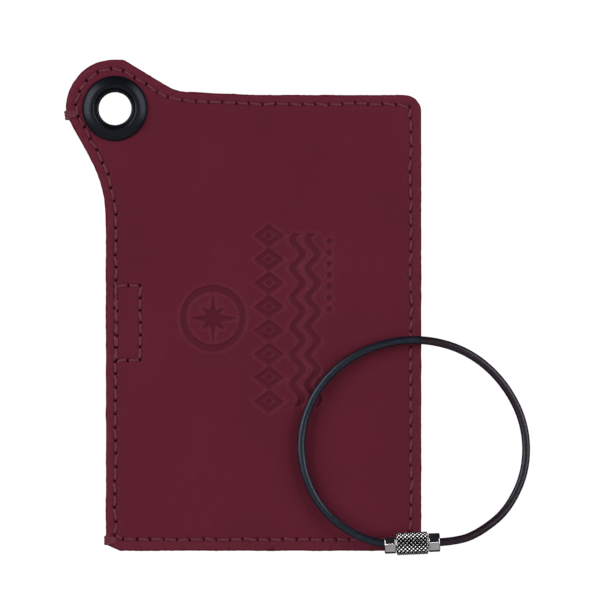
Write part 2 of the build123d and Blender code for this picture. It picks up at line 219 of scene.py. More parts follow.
def tag_outline():
    """The leather's outline, anticlockwise, with few points on straight stretches."""
    left = front_high[0] - BODY_WIDTH
    right, bottom = front_high[0], front_low[1]
    top = front_high[1] - NECK_TOP_DROP
    ear = grommet[:2]
    ear_radius = grommet[0] - front_low[0]
    cut_top = np.array([left, bottom + CORNER_CUT[1]])
    cut_side = np.array([left + CORNER_CUT[0], bottom])
    bottom_right = np.array([right, bottom])
    top_right = np.array([right, top])
    neck_top = np.array([NECK_TOP_START, top])
    neck_bend = np.array([NECK_BEND[0], top + NECK_BEND[1]])
    neck_left = np.array([left, NECK_LEFT_START])
    start, finish = math.radians(NECK_TOP_ANGLE), math.radians(NECK_LEFT_ANGLE)
    ear_edge = arc(ear, ear_radius, start, finish - start)
    points = [cut_top, cut_side]
    points += rounded(cut_side, bottom_right, top_right, BOTTOM_CORNER_RADIUS)
    points += rounded(bottom_right, top_right, neck_top, TOP_CORNER_RADIUS)
    points += [neck_top]
    points += rounded(neck_top, neck_bend, ear_edge[0], NECK_TOP_RADIUS)
    points += ear_edge
    points += rounded(ear_edge[-1], neck_left, cut_top, NECK_LEFT_RADIUS)
    return np.array(points)


def circle_loop(centre, radius, step):
    """A closed ring of points."""
    count = int(2 * math.pi * radius / step)
    angles = np.arange(count) * 2 * math.pi / count
    return np.column_stack([centre[0] + radius * np.cos(angles), centre[1] + radius * np.sin(angles)])


def resample(loop, step, closed=True):
    """Evenly spaced points along a path."""
    path = np.vstack([loop, loop[:1]]) if closed else np.asarray(loop)
    lengths = np.linalg.norm(np.diff(path, axis=0), axis=1)
    along = np.concatenate([[0], np.cumsum(lengths)])
    count = max(3, int(round(along[-1] / step)))
    stations = np.linspace(0, along[-1], count + 1)
    if closed:
        stations = stations[:-1]
    return np.column_stack([np.interp(stations, along, path[:, k]) for k in range(path.shape[1])])


def loop_normals(loop):
    """Outward normals of an anticlockwise loop."""
    tangents = np.roll(loop, -1, axis=0) - np.roll(loop, 1, axis=0)
    tangents /= np.linalg.norm(tangents, axis=1)[:, None]
    return np.column_stack([tangents[:, 1], -tangents[:, 0]])


def path_distance(points, loop):
    """Distance from each point to a closed path."""
    best = np.full(len(points), np.inf)
    for start, end in zip(loop, np.roll(loop, -1, axis=0)):
        along = end - start
        length = max(float(along @ along), 1e-12)
        t = np.clip((points - start) @ along / length, 0, 1)
        gap = points - start - t[:, None] * along
        best = np.minimum(best, np.einsum("ij,ij->i", gap, gap))
    return np.sqrt(best)


def inside_loop(points, loop):
    """Which points lie inside a closed loop."""
    inside = np.zeros(len(points), bool)
    for start, end in zip(loop, np.roll(loop, -1, axis=0)):
        if start[1] == end[1]:
            continue
        crosses = (start[1] > points[:, 1]) != (end[1] > points[:, 1])
        where = start[0] + (points[:, 1] - start[1]) * (end[0] - start[0]) / (end[1] - start[1])
        inside ^= crosses & (points[:, 0] < where)
    return inside


def ripple(points, seed, wavelength, waves=7):
    """A smooth uneven field from -1 to 1, from a few waves in random directions."""
    random = np.random.default_rng(seed)
    total = np.zeros(len(points))
    for _ in range(waves):
        heading = random.uniform(0, 2 * math.pi)
        number = 2 * math.pi / (wavelength * random.uniform(0.6, 1.6))
        direction = np.array([math.cos(heading), math.sin(heading)])
        total += np.sin(points[:, :2] @ direction * number + random.uniform(0, 2 * math.pi))
    return total / waves * 1.6


def smooth_step(low, high, value):
    """0 to 1 between two values, with a soft start and end."""
    t = np.clip((value - low) / (high - low), 0, 1)
    return t * t * (3 - 2 * t)


# ---- Mesh tools
def make_object(name, vertices, faces, materials, smooth=True):
    """A mesh object, from vertices in millimetres."""
    mesh = bpy.data.meshes.new(name)
    mesh.from_pydata((np.asarray(vertices) * MM).tolist(), [], faces)
    for material in materials:
        mesh.materials.append(material)
    mesh.polygons.foreach_set("use_smooth", [smooth] * len(mesh.polygons))
    mesh.update()
    item = bpy.data.objects.new(name, mesh)
    bpy.context.scene.collection.objects.link(item)
    return item


def attach(item, body, slot, *cad_nodes):
    """The piece moves with a body and stands for CAD nodes; its slot is not used."""
    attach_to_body(item, body)
    if cad_nodes:
        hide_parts(*cad_nodes)


def set_attribute(item, name, values):
    """Stores a value on each point of a mesh."""
    layer = item.data.attributes.new(name, "FLOAT", "POINT")
    layer.data.foreach_set("value", np.asarray(values, np.float32))


def triangulate(loops, inner_points):
    """Triangles over the area between the first loop and the others."""
    points = np.vstack(loops + [inner_points])
    edges = []
    start = 0
    for loop in loops:
        count = len(loop)
        edges += [(start + i, start + (i + 1) % count) for i in range(count)]
        start += count
    found = delaunay_2d_cdt([Vector(p) for p in points], edges, [], 0, 1e-6)
    places = np.array([tuple(v) for v in found[0]])
    triangles = np.array(found[2])
    new_index = {}
    for index, sources in enumerate(found[3]):
        for source in sources:
            new_index[source] = index
    middles = places[triangles].mean(axis=1)
    keep = inside_loop(middles, loops[0])
    for hole in loops[1:]:
        keep &= ~inside_loop(middles, hole)
    rings = []
    start = 0
    for loop in loops:
        rings.append([new_index[start + i] for i in range(len(loop))])
        start += len(loop)
    return places, triangles[keep], rings


def lattice(low, high, step):
    """A staggered grid of points, with a mark on the ones a coarse grid keeps."""
    rows = int((high[1] - low[1]) / (step * 0.866)) + 1
    columns = int((high[0] - low[0]) / step) + 1
    column, row = np.meshgrid(np.arange(columns), np.arange(rows))
    x = low[0] + (column + 0.5 * (row % 2)) * step
    y = low[1] + row * step * 0.866
    coarse = (column % COARSE_EVERY == 0) & (row % COARSE_EVERY == 0)
    return np.column_stack([x.ravel(), y.ravel()]), coarse.ravel()


def ring_faces(rings, sides, closed):
    """Quads between neighbouring rings of points; closed joins the last ring to the first."""
    faces = []
    for ring in range(rings if closed else rings - 1):
        below = ring * sides
        above = (ring + 1) % rings * sides
        for corner in range(sides):
            after = (corner + 1) % sides
            faces.append((below + corner, below + after, above + after, above + corner))
    return faces


def tube(path, radius, up, sides, strands, lobe, lay):
    """Vertices and faces of a plied tube along a path, capped at both ends."""
    path = np.asarray(path, float)
    tangents = np.gradient(path, axis=0)
    tangents /= np.linalg.norm(tangents, axis=1)[:, None]
    side = np.cross(np.asarray(up, float), tangents)
    side /= np.linalg.norm(side, axis=1)[:, None]
    normal = np.cross(tangents, side)
    steps = np.linalg.norm(np.diff(path, axis=0), axis=1)
    along = np.concatenate([[0], np.cumsum(steps)])
    angles = np.arange(sides) * 2 * math.pi / sides
    radii = np.broadcast_to(np.asarray(radius, float), (len(path),))[:, None]
    turn = along[:, None] / lay * 2 * math.pi / strands
    radii = radii * (1 - lobe + lobe * np.abs(np.cos(strands * (angles[None, :] - turn) / 2)) * 1.6)
    across = (radii * np.cos(angles)[None, :])[:, :, None] * side[:, None, :]
    upward = (radii * np.sin(angles)[None, :])[:, :, None] * normal[:, None, :]
    vertices = (path[:, None, :] + across + upward).reshape(-1, 3)
    faces = ring_faces(len(path), sides, closed=False)
    last = (len(path) - 1) * sides
    faces.append(tuple(range(sides - 1, -1, -1)))
    faces.append(tuple(last + corner for corner in range(sides)))
    return vertices, faces


def join_parts(parts):
    """One set of vertices and faces from several."""
    vertices, faces, start = [], [], 0
    for part_vertices, part_faces in parts:
        vertices.append(part_vertices)
        faces += [tuple(index + start for index in face) for face in part_faces]
        start += len(part_vertices)
    return np.vstack(vertices), faces


def turned(stations, sides, origin, axis):
    """A body of revolution. Each station is (along, radius); a radius may vary round the axis."""
    axis = unit(np.asarray(axis, float))
    across = unit(np.cross(axis, [0.0, 0.0, 1.0] if abs(axis[2]) < 0.9 else [1.0, 0.0, 0.0]))
    third = np.cross(axis, across)
    angles = np.arange(sides) * 2 * math.pi / sides
    spokes = np.cos(angles)[:, None] * across + np.sin(angles)[:, None] * third
    rings = []
    for along, radius in stations:
        radii = np.broadcast_to(np.asarray(radius, float), (sides,))
        rings.append(np.asarray(origin) + along * axis + radii[:, None] * spokes)
    return np.vstack(rings), ring_faces(len(stations), sides, closed=True)


# ---- Materials
def linear(red, green, blue):
    """A colour given as 0-255 screen values, as Blender wants it."""
    values = [v / 255 for v in (red, green, blue)]
    return tuple(v / 12.92 if v <= 0.04045 else ((v + 0.055) / 1.055) ** 2.4 for v in values) + (1.0,)


def new_material(name, **values):
    """A Principled material; values are set on the shader's own sockets."""
    material = bpy.data.materials.new(name)
    material.use_nodes = True
    shader = material.node_tree.nodes["Principled BSDF"]
    for socket, value in values.items():
        shader.inputs[socket.replace("_", " ")].default_value = value
    return material, material.node_tree, shader


def node(tree, kind, inputs=None, **settings):
    """Adds a node; an input is a value or another node's output."""
    item = tree.nodes.new(kind)
    for key, value in settings.items():
        setattr(item, key, value)
    for socket, value in (inputs or {}).items():
        if isinstance(value, bpy.types.NodeSocket):
            tree.links.new(value, item.inputs[socket])
        else:
            item.inputs[socket].default_value = value
    return item


def mix_colour(tree, factor, first, second):
    """Blends two colours by a factor."""
    item = node(tree, "ShaderNodeMix", {0: factor, 6: first, 7: second}, data_type="RGBA")
    return item.outputs[2]


def scaled(tree, value, low, high, to_low=0.0, to_high=1.0):
    """Maps a range of a value to another, smoothly."""
    item = node(
        tree,
        "ShaderNodeMapRange",
        {"Value": value, "From Min": low, "From Max": high, "To Min": to_low, "To Max": to_high},
        interpolation_type="SMOOTHSTEP",
    )
    return item.outputs["Result"]


def two_tone(tree, value, low, high, first, second, most=1.0):
    """One colour below a value, turning to a share of another above it."""
    return mix_colour(tree, scaled(tree, value, low, high, 0.0, most), first, second)


def place(tree):
    """The piece's own coordinates, in metres."""
    return node(tree, "ShaderNodeTexCoord").outputs["Object"]


def noise(tree, size_mm, detail=3.0, rough=0.5, where=None):
    """Cloudy noise whose blobs are about size_mm across."""
    vector = place(tree) if where is None else where
    item = node(
        tree,
        "ShaderNodeTexNoise",
        {"Vector": vector, "Scale": 1 / (size_mm * MM), "Detail": detail, "Roughness": rough},
    )
    return item.outputs["Fac"]


def add_bump(tree, shader, *layers):
    """Bump from (height, distance in mm) layers, one over the other."""
    normal = None
    for height, distance in layers:
        inputs = {"Height": height, "Distance": distance * MM, "Strength": 1.0}
        if normal is not None:
            inputs["Normal"] = normal
        normal = node(tree, "ShaderNodeBump", inputs).outputs["Normal"]
    tree.links.new(normal, shader.inputs["Normal"])


def attribute(tree, name):
    """A value stored on the mesh's points."""
    return node(tree, "ShaderNodeAttribute", attribute_name=name).outputs["Fac"]


def link_surface(tree, shader, colour, grain, rough_low, rough_high):
    """Links the colour, and a roughness that follows the grain."""
    tree.links.new(colour, shader.inputs["Base Color"])
    rough = scaled(tree, grain, 0.3, 0.7, rough_low, rough_high)
    tree.links.new(rough, shader.inputs["Roughness"])


def leather_material(name, base, low, pressed, dark_edge):
    """Smooth dyed leather: faint grain, cloudy dye, darker where pressed and at the cut, lighter where scuffed
    near the edge, with a painted highlight beside pressed lines and painted shade in the needle holes.
    """
    material, tree, shader = new_material(name, Specular_IOR_Level=0.1)
    dye = two_tone(tree, noise(tree, 30), 0.35, 0.65, base, low)
    grain_cells = node(
        tree,
        "ShaderNodeTexVoronoi",
        {"Vector": place(tree), "Scale": 1 / (0.5 * MM), "Randomness": 1.0},
        feature="SMOOTH_F1",
    ).outputs["Distance"]
    fibres = noise(tree, 0.22, 4.0, 0.6)
    # This mask and the lighter colour it blends hold real scuffing near the cut edge and a painted highlight on
    # the swell beside each pressed line.
    worn = attribute(tree, "worn")
    streaks = scaled(tree, noise(tree, 1.4, 5.0, 0.7), 0.35, 0.65, 0.3, 1.0)
    streaked_wear_and_highlight = node(tree, "ShaderNodeMath", {0: worn, 1: streaks}, operation="MULTIPLY").outputs["Value"]
    rubbed_and_painted_light = mix_colour(tree, streaked_wear_and_highlight, dye, linear(112, 48, 64))
    mottle = two_tone(tree, noise(tree, 0.9, 5.0, 0.65), 0.3, 0.75, rubbed_and_painted_light, pressed, 0.35)
    press = attribute(tree, "press")
    stamped = two_tone(tree, press, 0.05, 0.55, mottle, pressed)
    # Painted shade: the needle holes are drawn near black.
    holes = two_tone(tree, press, 0.58, 0.85, stamped, linear(22, 4, 11))
    edge = attribute(tree, "edge")
    rim = two_tone(tree, edge, 0.3, 0.7, holes, dark_edge)
    link_surface(tree, shader, rim, fibres, 0.52, 0.68)
    add_bump(tree, shader, (noise(tree, 6, 2.0), 0.10), (grain_cells, 0.035), (fibres, 0.025))
    return material


def cut_edge_material():
    """The raw cut edge of dyed leather: dark, fibrous, in layers."""
    material, tree, shader = new_material("leather_cut_edge", Specular_IOR_Level=0.2)
    mapping = node(tree, "ShaderNodeMapping", {"Vector": place(tree), "Scale": (1.0, 1.0, 4.0)})
    stretched = mapping.outputs["Vector"]
    fibres = noise(tree, 0.5, 5.0, 0.7, stretched)
    colour = two_tone(tree, fibres, 0.35, 0.65, linear(78, 12, 32), linear(98, 26, 44))
    link_surface(tree, shader, colour, fibres, 0.7, 0.9)
    add_bump(tree, shader, (fibres, 0.12))
    return material


def lining_material():
    """Thin napped lining."""
    material, tree, shader = new_material("suede_lining", Sheen_Weight=0.3, Specular_IOR_Level=0.15)
    nap = noise(tree, 0.3, 5.0, 0.7)
    clouds = noise(tree, 5.0, 3.0)
    tint = two_tone(tree, clouds, 0.35, 0.65, linear(66, 25, 36), linear(78, 33, 44))
    colour = two_tone(tree, nap, 0.35, 0.7, tint, linear(50, 18, 27), 0.6)
    link_surface(tree, shader, colour, nap, 0.8, 0.95)
    add_bump(tree, shader, (nap, 0.06))
    return material


def plain_material(name, grain_mm, detail, rough, first, second, roughness, high=0.7, bump=0.0):
    """A matt material whose colour and roughness follow one fine grain."""
    material, tree, shader = new_material(name, Specular_IOR_Level=0.2)
    grain = noise(tree, grain_mm, detail, rough)
    colour = two_tone(tree, grain, 0.3, high, linear(*first), linear(*second))
    link_surface(tree, shader, colour, grain, *roughness)
    if bump:
        add_bump(tree, shader, (grain, bump))
    return material


def black_metal_material():
    """Satin black lacquer over metal, with a fine orange peel."""
    material, tree, shader = new_material(
        "black_lacquered_metal", Specular_IOR_Level=0.24, Specular_Tint=(0.78, 0.86, 1.0, 1.0)
    )
    peel = noise(tree, 0.35, 3.0, 0.5)
    dust = noise(tree, 0.12, 4.0, 0.7)
    colour = two_tone(tree, dust, 0.55, 0.8, linear(11, 13, 18), linear(24, 27, 34))
    link_surface(tree, shader, colour, peel, 0.30, 0.42)
    add_bump(tree, shader, (peel, 0.008))
    return material


def steel_material(name, rough_low, rough_high, tint, scratch_mm=0.5):
    """Bright plated metal with fine turning marks, a little tarnish and painted shade in its grooves."""
    material, tree, shader = new_material(name, Metallic=1.0)
    marks = noise(tree, scratch_mm, 4.0, 0.6)
    tarnish = noise(tree, 1.6, 4.0, 0.6)
    colour = two_tone(tree, tarnish, 0.4, 0.75, tint, linear(150, 146, 150), 0.5)
    groove = attribute(tree, "groove")
    # Painted shade: the knurl's grooves are drawn near black.
    painted_groove_shade = two_tone(tree, groove, 0.4, 0.55, colour, linear(10, 9, 12))
    link_surface(tree, shader, painted_groove_shade, marks, rough_low, rough_high)
    add_bump(tree, shader, (marks, 0.004))
    return material


def cable_material():
    """Semi-gloss black coating with a painted light tint: blue-black on the leather, browner beyond the leather's
    right edge.
    """
    material, tree, shader = new_material(
        "cable_coating", Specular_IOR_Level=0.45, Specular_Tint=(0.72, 0.86, 1.0, 1.0)
    )
    scuffs = noise(tree, 0.6, 5.0, 0.65)
    # Painted light tint: the coat is drawn blue-black on the leather and browner beyond its right edge, for the
    # different light on each half; the coat itself is one black.
    across = node(tree, "ShaderNodeSeparateXYZ", {"Vector": place(tree)}).outputs["X"]
    change, half_width = front_high[0] * MM, 2 * MM
    side = scaled(tree, across, change - half_width, change + half_width)
    dark_coat_and_light_tint = mix_colour(tree, side, linear(17, 20, 30), linear(30, 10, 18))
    rubbed_and_painted_light = mix_colour(tree, side, linear(38, 43, 55), linear(46, 22, 31))
    colour = two_tone(tree, scuffs, 0.5, 0.75, dark_coat_and_light_tint, rubbed_and_painted_light)
    link_surface(tree, shader, colour, scuffs, 0.3, 0.46)
    add_bump(tree, shader, (scuffs, 0.02))
    return material


def film_material():
    """Clear window film with faint handling marks."""
    material, tree, shader = new_material(
        "clear_film", Transmission_Weight=1.0, IOR=1.45, Base_Color=(0.95, 0.96, 0.97, 1.0)
    )
    marks = noise(tree, 4.0, 6.0, 0.7)
    tree.links.new(scaled(tree, marks, 0.4, 0.8, 0.03, 0.16), shader.inputs["Roughness"])
    add_bump(tree, shader, (noise(tree, 12.0, 2.0), 0.05))
    return material


LEATHER = leather_material(
    "burgundy_leather", linear(93, 27, 44), linear(89, 25, 41), linear(81, 23, 38), linear(92, 8, 32)
)
CUT_EDGE = cut_edge_material()
LINING = lining_material()
THREAD = plain_material(
    "waxed_thread", 0.12, 4.0, 0.6, (92, 35, 49), (112, 51, 65), (0.45, 0.65), bump=0.04
)
BLACK_METAL = black_metal_material()
POLISHED = steel_material("polished_steel", 0.10, 0.18, linear(214, 212, 214))
KNURLED = steel_material("knurled_steel", 0.16, 0.26, linear(222, 220, 222), 0.25)
PLATED = steel_material("plated_magnet", 0.25, 0.4, linear(160, 160, 162))
CABLE = cable_material()
FILM = film_material()
PAPER = plain_material(
    "uncoated_card", 0.35, 5.0, 0.7, (238, 234, 224), (228, 222, 208), (0.75, 0.9), bump=0.02
)
INK = plain_material("ruled_ink", 0.25, 4.0, 0.6, (88, 84, 86), (120, 116, 116), (0.7, 0.85), high=0.8)


# ---- Seam line and stitches
outline = tag_outline()
even_rim = resample(outline, RIM_STEP)
rim_normals = loop_normals(even_rim)


def ragged(loop, normals, seed):
    """A cut edge wanders a little about its line."""
    wander = 0.6 * ripple(loop, seed, 9.0) + 0.4 * ripple(loop, seed + 1, 1.5)
    return loop - normals * RAG * np.clip(wander, -0.5, 0.5)[:, None]


def seam_insets(normals):
    """How far in the seam runs from each side, blended round the corners."""
    weights = np.maximum(
        np.column_stack([-normals[:, 0], normals[:, 0], normals[:, 1], -normals[:, 1]]), 0
    ) ** 2
    sides = np.array([SEAM_LEFT, SEAM_RIGHT, SEAM_TOP, SEAM_BOTTOM])
    return weights @ sides / weights.sum(axis=1)


def seam_path():
    """The closed line that the edge stitching follows."""
    insets = seam_insets(rim_normals)
    shifted = even_rim - rim_normals * insets[:, None]
    clear = path_distance(shifted, outline) > insets * SEAM_CLEARANCE
    return resample(shifted[clear], 0.25)


seam = seam_path()
seam_length = np.linalg.norm(seam - np.roll(seam, -1, axis=0), axis=1).sum()
seam_start = int(np.argmax(seam[:, 0] + seam[:, 1]))
seam_holes = resample(np.roll(seam, -seam_start, axis=0), seam_length / round(seam_length / PITCH))
body_left = front_high[0] - BODY_WIDTH
box_left = body_left + SEAM_LEFT
box_right = box_left + BOX_WIDTH
box_path = np.vstack(
    [
        np.linspace((box_left, BOX_TOP), (box_right, BOX_TOP), 3)[:-1],
        np.linspace((box_right, BOX_TOP), (box_right, BOX_BOTTOM), 7)[:-1],
        np.linspace((box_right, BOX_BOTTOM), (box_left, BOX_BOTTOM), 3)[:-1],
        np.linspace((box_left + 0.2, BOX_BOTTOM), (box_left + 0.2, BOX_TOP), 7)[:-1],
    ]
)
ear_tack_angle = math.radians(EAR_TACK_ANGLE)
ear_tack = grommet[:2] + (grommet[0] - front_low[0]) * np.array(
    [math.cos(ear_tack_angle), math.sin(ear_tack_angle)]
)
corner_tack = np.array([body_left, front_low[1] + CORNER_CUT[1] + TACK_ABOVE_CUT])


def on_mouth_side(point):
    """True for the edge stitches between the two back-tacks."""
    return corner_tack[1] < point[1] < ear_tack[1] and point[0] < grommet[0] + SEAM_LEFT


def jitter(points, seed, amount):
    """Small uneven shifts, as hand-guided stitching has."""
    return points + np.random.default_rng(seed).normal(0, amount, points.shape)


seam_holes = jitter(seam_holes, 3, 0.11)
box_holes = jitter(box_path, 4, 0.07)
seam_pairs = list(zip(seam_holes, np.roll(seam_holes, -1, axis=0)))
mouth_stitches = [pair for pair in seam_pairs if on_mouth_side((pair[0] + pair[1]) / 2)]
edge_stitches = [pair for pair in seam_pairs if not on_mouth_side((pair[0] + pair[1]) / 2)]
box_stitches = list(zip(box_holes, np.roll(box_holes, -1, axis=0)))
all_holes = np.vstack([seam_holes, box_holes])


def stitch_set(run, face, pairs, surface, up, slant):
    """Plied stitches that rise out of one needle hole and dive into the next."""
    random = np.random.default_rng(len(pairs))
    t = np.linspace(0, 1, 17)
    swelling = np.sin(math.pi * t)
    rise = THREAD_DIVE + THREAD_RISE - THREAD_RADIUS
    parts = []
    for start, end in pairs:
        direction = unit(end - start)
        across = np.array([-direction[1], direction[0]])
        lean = slant + random.normal(0, 0.1)
        first = start + direction * THREAD_ENDS * 0.55 + across * lean
        last = end - direction * THREAD_ENDS * 0.55 - across * lean
        flat = first + t[:, None] * (last - first)
        height = rise * np.minimum(swelling * 2.6, 1.0) ** 0.8 - THREAD_DIVE
        height += 0.02 * random.normal()
        path = np.column_stack([flat, surface + up * height])
        radius = THREAD_RADIUS * (0.75 + 0.25 * swelling**0.5)
        parts.append(tube(path, radius, (0, 0, up), THREAD_SIDES, THREAD_STRANDS, 0.18, THREAD_LAY))
    item = make_object(f"{run}_stitches_{face}", *join_parts(parts), [THREAD])
    attach(item, "sleeve", "thread", f"{run}_thread_{face}")


def back_tack(name, edge_point, inward, cad_node):
    """Three turns of thread round the cut edge, closer together where they end on the front."""
    along = np.array([-inward[1], inward[0]])
    top = front_high[2] + THREAD_RISE - 0.28
    bottom = back_low[2] + 0.30
    bend = inward * TACK_BEND
    parts = []
    for shift in TACK_TURNS:
        outer = edge_point + along * shift - inward * 0.02
        inner_top = edge_point + along * shift * TACK_NARROWING + inward * (SEAM_LEFT + 0.15 * shift)
        inner_bottom = edge_point + along * shift + inward * (SEAM_LEFT - 0.15 * shift)
        corners = [
            (*inner_top, top - 0.45),
            (*(inner_top - bend), top),
            (*(outer + bend), top + 0.02),
            (*outer, top - 0.42),
            (*(outer - inward * 0.04), (top + bottom) / 2),
            (*outer, bottom + 0.42),
            (*(outer + bend), bottom),
            (*(inner_bottom - bend), bottom),
            (*inner_bottom, bottom + 0.4),
        ]
        path = smooth_path(corners, 60)
        parts.append(tube(path, TACK_RADIUS, (*along, 0.0), THREAD_SIDES, THREAD_STRANDS, 0.16, THREAD_LAY))
    item = make_object(name, *join_parts(parts), [THREAD])
    attach(item, "sleeve", "thread", cad_node)


def smooth_path(corners, count):
    """A Catmull-Rom curve through points."""
    points = np.array(corners, float)
    padded = np.vstack([2 * points[0] - points[1], points, 2 * points[-1] - points[-2]])
    out = []
    for place_along in np.linspace(0, len(points) - 1, count):
        index = min(int(place_along), len(points) - 2)
        t = place_along - index
        a, b, c, d = padded[index : index + 4]
        out.append(
            0.5 * (2 * b + (c - a) * t + (2 * a - 5 * b + 4 * c - d) * t**2 + (3 * b - a - 3 * c + d) * t**3)
        )
    return np.array(out)


# ---- Pressed ornament, in place of the mark and the lines of text
MARK = (-6.8, -3.0)
MARK_RADIUS = 7.4


def star_points(centre, tips, long_radius, short_radius, waist):
    """A compass star with long and short points in turn."""
    points = []
    for index in range(tips * 2):
        angle = math.pi / 2 + index * math.pi / tips
        if index % 2:
            radius = waist
        else:
            radius = long_radius if index % 4 == 0 else short_radius
        points.append((centre[0] + radius * math.cos(angle), centre[1] + radius * math.sin(angle)))
    return np.array(points)


def signed_distance(points, loop):
    """Distance to a closed loop, negative inside it."""
    distance = path_distance(points, loop)
    return np.where(inside_loop(points, loop), -distance, distance)


def ring_field(points, centre, radius, width):
    """Distance to a ring's stroke, negative inside it."""
    away = np.linalg.norm(points - np.asarray(centre), axis=1)
    return np.abs(away - radius) - width / 2


def lozenge_field(points, centre, half_x, half_y):
    """Distance to a lozenge, negative inside it."""
    x = np.abs(points[:, 0] - centre[0]) / half_x
    y = np.abs(points[:, 1] - centre[1]) / half_y
    return (x + y - 1) * half_x * half_y / math.hypot(half_x, half_y)


def ornament_field(points):
    """Distance to the nearest pressed line, negative inside it."""
    star = star_points(MARK, 8, 5.4, 3.5, 1.7)
    field = ring_field(points, MARK, MARK_RADIUS - 0.7, 1.4)
    field = np.minimum(field, signed_distance(points, star))
    for y in np.arange(8) * 5.33 - 21.8:
        lozenge = lozenge_field(points, (5.75, y), 3.35, 2.55)
        field = np.minimum(field, np.abs(lozenge + 0.5) - 0.5)
        field = np.minimum(field, lozenge_field(points, (5.75, y), 0.9, 0.8))
    for x in (12.2, 15.6):
        wave = x + 1.05 * np.sin((points[:, 1] + 22.8) * 2 * math.pi / 6.5)
        stroke = np.abs(points[:, 0] - wave) * 0.78 - 0.62
        ends = np.maximum(points[:, 1] - 16.1, -22.8 - points[:, 1])
        field = np.minimum(field, np.maximum(stroke, ends))
    for y in np.arange(7) * 2.55 - 1.0:
        away = np.linalg.norm(points - np.array([19.3, y]), axis=1)
        field = np.minimum(field, away - 0.62)
    return field


# ---- Leather
def hole_pressure(points):
    """1 in the middle of a needle hole at the mouth, less where the seam is closed."""
    pressure = np.zeros(len(points))
    for hole in all_holes:
        gap = points - hole
        near = np.abs(gap).max(axis=1) < 3 * HOLE_WIDTH
        strength = 1.0 if hole[0] < box_right + PITCH else CLOSED_HOLE
        spot = strength * np.exp(-np.einsum("ij,ij->i", gap[near], gap[near]) / HOLE_WIDTH**2)
        pressure[near] = np.maximum(pressure[near], spot)
    return pressure


def relief(points, loops, ornament):
    """How far the outer face lies below its plane, and its pressed, scuffed and edge marks; the scuffed mark also
    holds a painted highlight beside the pressed lines, and the pressed mark holds painted shade in the needle
    holes.
    """
    edge_gap = np.min([path_distance(points, loop) for loop in loops], axis=0)
    thread_gap = np.minimum(path_distance(points, seam), path_distance(points, box_path))
    groove = np.exp(-((thread_gap / GROOVE_WIDTH) ** 2))
    holes = hole_pressure(points)
    drop = EDGE_ROUND * np.clip(1 - edge_gap / EDGE_WIDTH, 0, 1) ** 2
    drop += GROOVE_DEPTH * groove + HOLE_DEPTH * holes
    drop += SWELL * (1 + ripple(points, 11, 24.0)) + DIMPLE * (1 + ripple(points, 12, 4.0))
    press = 0.30 * groove
    worn = 0.35 * np.clip(1 - edge_gap / WORN_WIDTH, 0, 1) ** 0.5
    if ornament:
        field = ornament_field(points)
        stamped = smooth_step(PRESS_SOFTNESS, -PRESS_SOFTNESS, field)
        shoulder = np.exp(-(((field - SHOULDER_PLACE) / SHOULDER_WIDTH) ** 2))
        drop += PRESS_DEPTH * stamped - PRESS_SHOULDER * shoulder
        # Painted highlight: beside each pressed line the leather is drawn in the lighter scuffed colour, standing
        # in for light catching the swell.
        worn = np.maximum(worn, 0.5 * shoulder)
        press = np.maximum(press, 0.55 * stamped)
    # The needle holes join this mask, which paints shade into them.
    press = np.maximum(press, holes)
    return drop, press, worn, np.clip(1 - edge_gap / RIM_WIDTH, 0, 1)


def detail_gap(points, loops, ornament):
    """Distance to the nearest thing that needs a fine mesh."""
    gap = path_distance(points, seam[::4])
    gap = np.minimum(gap, path_distance(points, box_path))
    for loop in loops:
        gap = np.minimum(gap, path_distance(points, loop))
    if ornament:
        gap = np.minimum(gap, np.abs(ornament_field(points)) + 0.25)
    return gap


def well_inside(points, holes, edge_gap, hole_gap):
    """Which points lie inside the outline and outside the holes, with room to spare."""
    keep = inside_loop(points, outline) & (path_distance(points, outline) > edge_gap)
    for hole in holes:
        keep &= ~inside_loop(points, hole) & (path_distance(points, hole[::3]) > hole_gap)
    return keep


